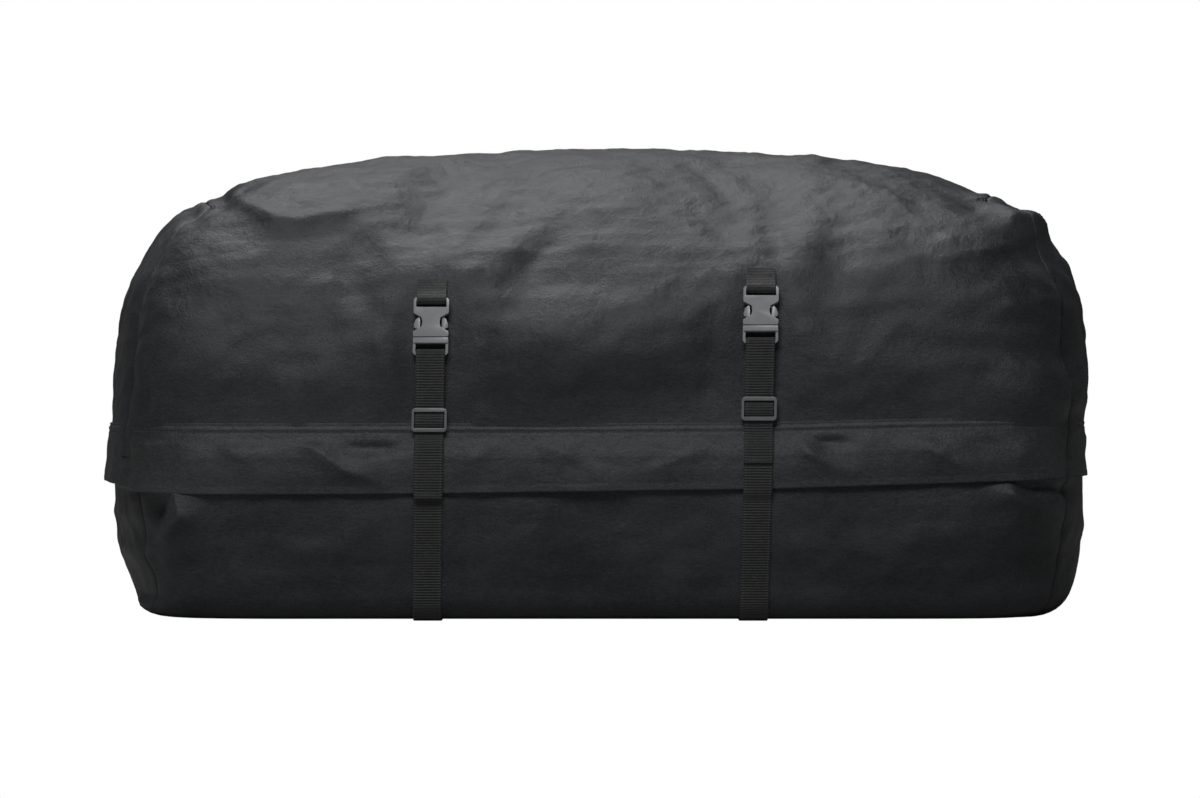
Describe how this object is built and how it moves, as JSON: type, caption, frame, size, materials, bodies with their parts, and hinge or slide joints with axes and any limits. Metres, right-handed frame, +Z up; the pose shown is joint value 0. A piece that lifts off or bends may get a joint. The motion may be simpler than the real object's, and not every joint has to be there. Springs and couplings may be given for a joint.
{
  "type": "roof cargo bag",
  "caption": "Soft zipped roof cargo bag of coated cloth, stuffed full, with a storm flap over the zip and two webbing straps closed by side-release buckles.",
  "frame": {"origin": "under the middle of the bag, on the level of the straps' undersides", "axes": "+Z up, -Y towards the front of the picture, +X to the right of the picture"},
  "size_m": [0.9052, 0.985, 0.4398],
  "materials": {
    "coated_cloth": "matt black coated polyester with a soft sheen",
    "flap_cloth": "matt black coated polyester with a soft sheen",
    "webbing": "black ribbed polyester webbing",
    "zip_tape": "black woven tape with a black coil",
    "moulded_plastic": "black moulded acetal, fine satin texture",
    "zip_metal": "black enamelled die-cast metal"
  },
  "bodies": {
    "bag": {"lid_main_panel": "coated_cloth", "lid_side_panel_left": "coated_cloth", "lid_side_panel_right": "coated_cloth", "tub_front_panel": "coated_cloth", "tub_back_panel": "coated_cloth", "tub_side_panel_left": "coated_cloth", "tub_side_panel_right": "coated_cloth", "tub_base_panel": "coated_cloth", "flap_front": "flap_cloth", "flap_left": "flap_cloth", "flap_right": "flap_cloth", "zipper_stringer_upper": "zip_tape", "zipper_stringer_lower": "zip_tape", "zipper_stop_left": "zip_metal", "zipper_stop_right": "zip_metal", "strap_left": "webbing", "strap_right": "webbing", "buckle_tab_front_left": "webbing", "buckle_tab_front_right": "webbing", "buckle_tab_back_left": "webbing", "buckle_tab_back_right": "webbing", "buckle_socket_front_left": "moulded_plastic", "buckle_socket_front_right": "moulded_plastic", "buckle_socket_back_left": "moulded_plastic", "buckle_socket_back_right": "moulded_plastic", "buckle_latch_front_left": "moulded_plastic", "buckle_latch_front_right": "moulded_plastic", "buckle_latch_back_left": "moulded_plastic", "buckle_latch_back_right": "moulded_plastic", "strap_slide_front_left": "moulded_plastic", "strap_slide_front_right": "moulded_plastic", "strap_slide_back_left": "moulded_plastic", "strap_slide_back_right": "moulded_plastic"},
    "slider_left": {"zipper_slider_left": "zip_metal"},
    "pull_left": {"zipper_pull_left": "zip_metal"},
    "slider_right": {"zipper_slider_right": "zip_metal"},
    "pull_right": {"zipper_pull_right": "zip_metal"}
  },
  "joints": [
    {"name": "zip_slide_left", "type": "slide", "parent": "bag", "child": "slider_left", "axis": [-1, 0, 0], "range_m": [0, 0.235]},
    {"name": "zip_slide_right", "type": "slide", "parent": "bag", "child": "slider_right", "axis": [1, 0, 0], "range_m": [0, 0.25]},
    {"name": "pull_swing_left", "type": "hinge", "parent": "slider_left", "child": "pull_left", "pos_m": [-0.024, -0.484, 0.14], "axis": [0, 0, 1], "range_deg": [0, 4]},
    {"name": "pull_swing_right", "type": "hinge", "parent": "slider_right", "child": "pull_right", "pos_m": [-0.002, -0.484, 0.14], "axis": [0, 0, -1], "range_deg": [0, 4]}
  ]
}
